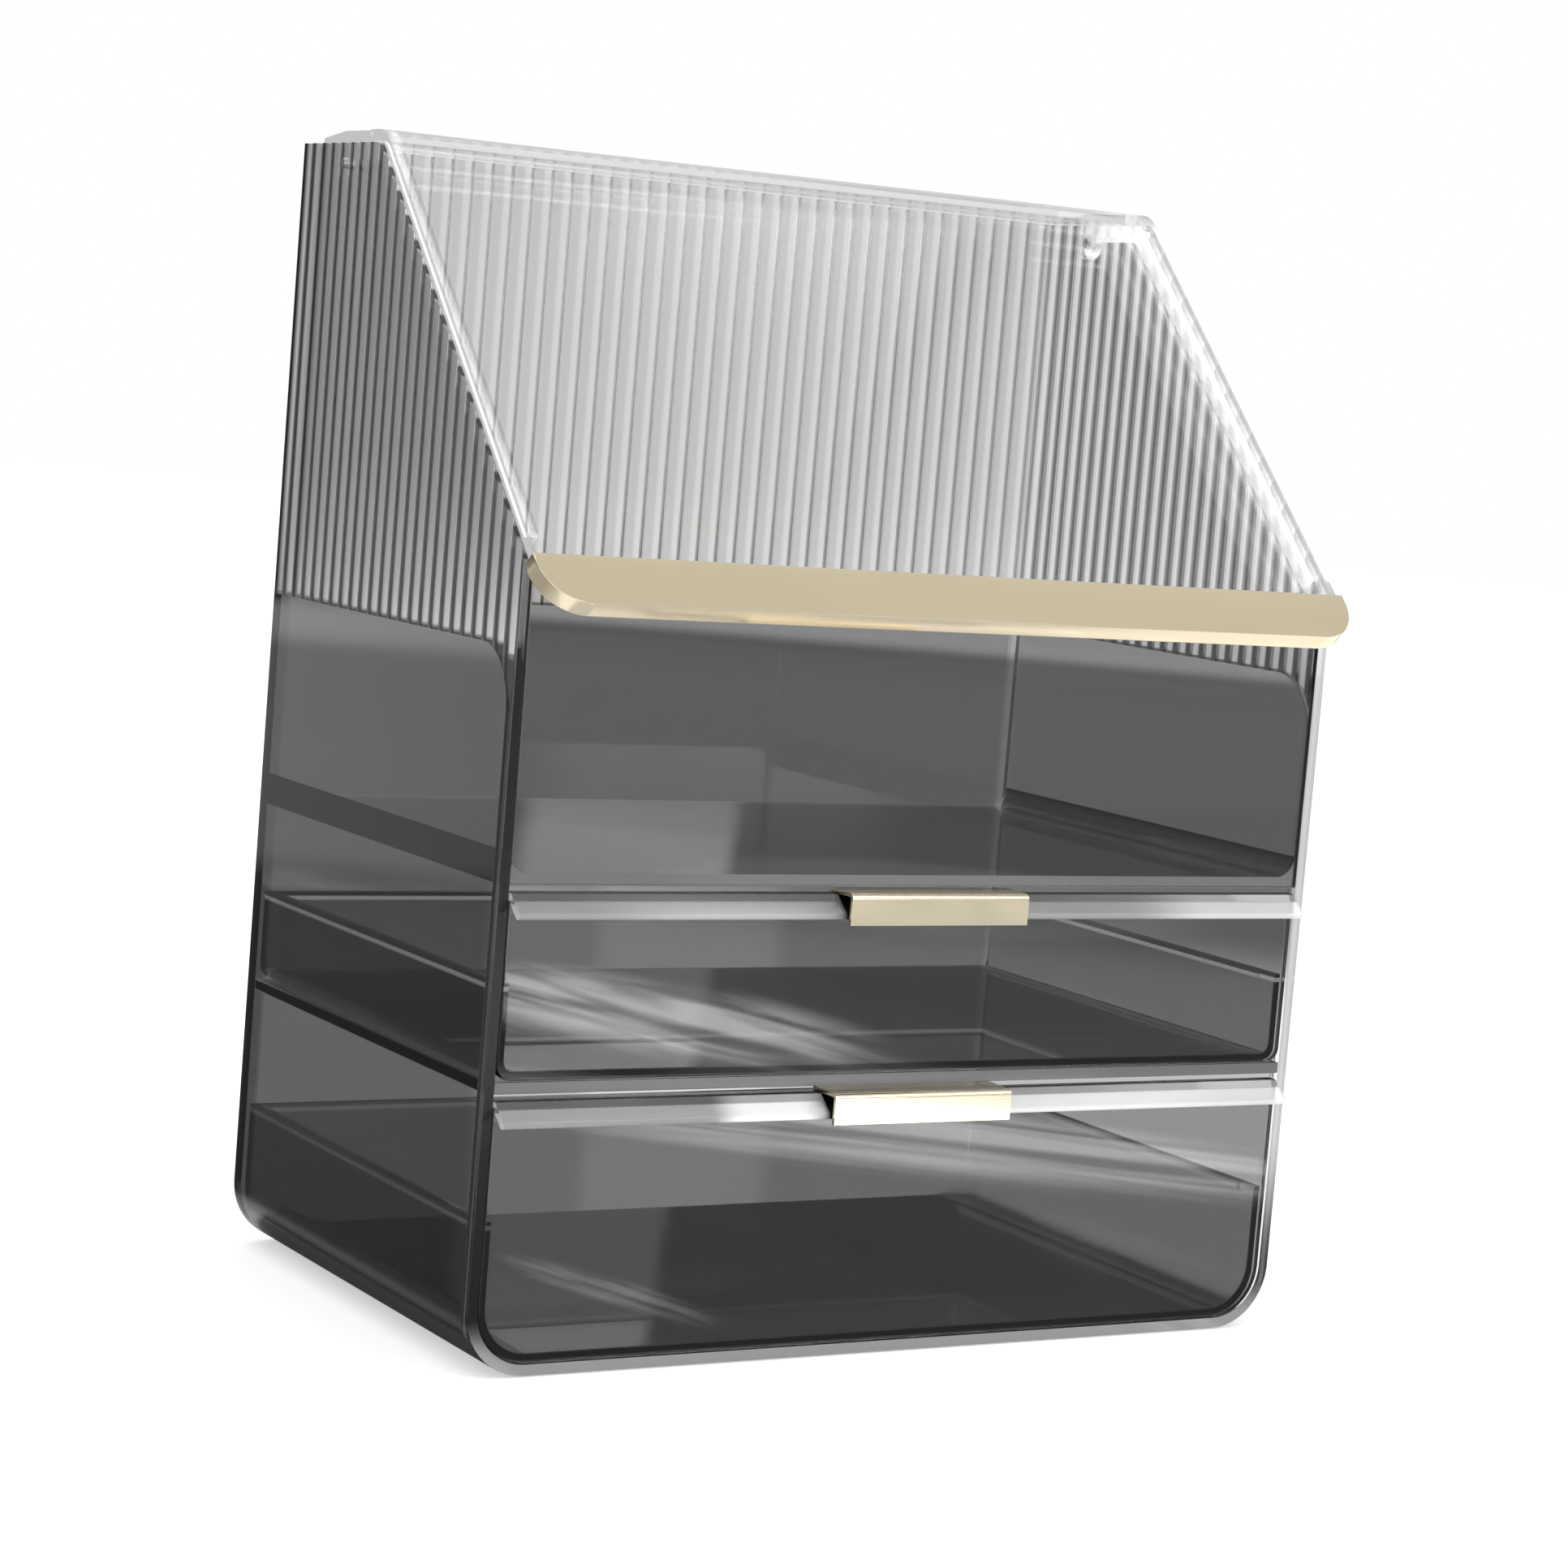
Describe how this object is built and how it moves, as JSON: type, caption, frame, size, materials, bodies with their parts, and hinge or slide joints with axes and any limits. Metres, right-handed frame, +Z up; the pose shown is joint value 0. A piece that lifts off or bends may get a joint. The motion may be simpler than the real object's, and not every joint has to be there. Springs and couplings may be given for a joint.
{
  "type": "dustproof makeup organizer",
  "caption": "Smoked clear makeup organizer with a reeded top compartment under a sloping hinged lid with gold edge trim, over lipped drawers with gold pulls.",
  "frame": {"origin": "middle of the base, on the surface the organizer stands on", "axes": "+X to the right seen from the front, -Y towards the front, +Z up"},
  "size_m": [0.26, 0.172, 0.3221],
  "materials": {
    "smoked_plastic": "gloss",
    "clear_plastic": "gloss",
    "gold_trim": "satin",
    "gold_pull": "polished",
    "pin_steel": "satin"
  },
  "bodies": {
    "cabinet": {"cabinet_shell": "smoked_plastic", "back_panel": "smoked_plastic", "upper_floor": "smoked_plastic", "middle_shelf": "smoked_plastic", "front_panel": "smoked_plastic", "left_hinge_pin": "pin_steel", "right_hinge_pin": "pin_steel"},
    "lid": {"lid_panel": "clear_plastic", "lid_trim": "gold_trim"},
    "upper_drawer": {"upper_drawer_tray": "smoked_plastic", "upper_drawer_front": "smoked_plastic", "upper_drawer_handle": "gold_pull"},
    "lower_drawer": {"lower_drawer_tray": "smoked_plastic", "lower_drawer_front": "smoked_plastic", "lower_drawer_handle": "gold_pull"}
  },
  "joints": [
    {"name": "lid_hinge", "type": "hinge", "parent": "cabinet", "child": "lid", "pos_m": [0, 0.052, 0.3128], "axis": [-1, 0, 0], "range_deg": [0, 130]},
    {"name": "upper_drawer_slide", "type": "slide", "parent": "cabinet", "child": "upper_drawer", "axis": [0, -1, 0], "range_m": [0, 0.12]},
    {"name": "lower_drawer_slide", "type": "slide", "parent": "cabinet", "child": "lower_drawer", "axis": [0, -1, 0], "range_m": [0, 0.12]}
  ]
}
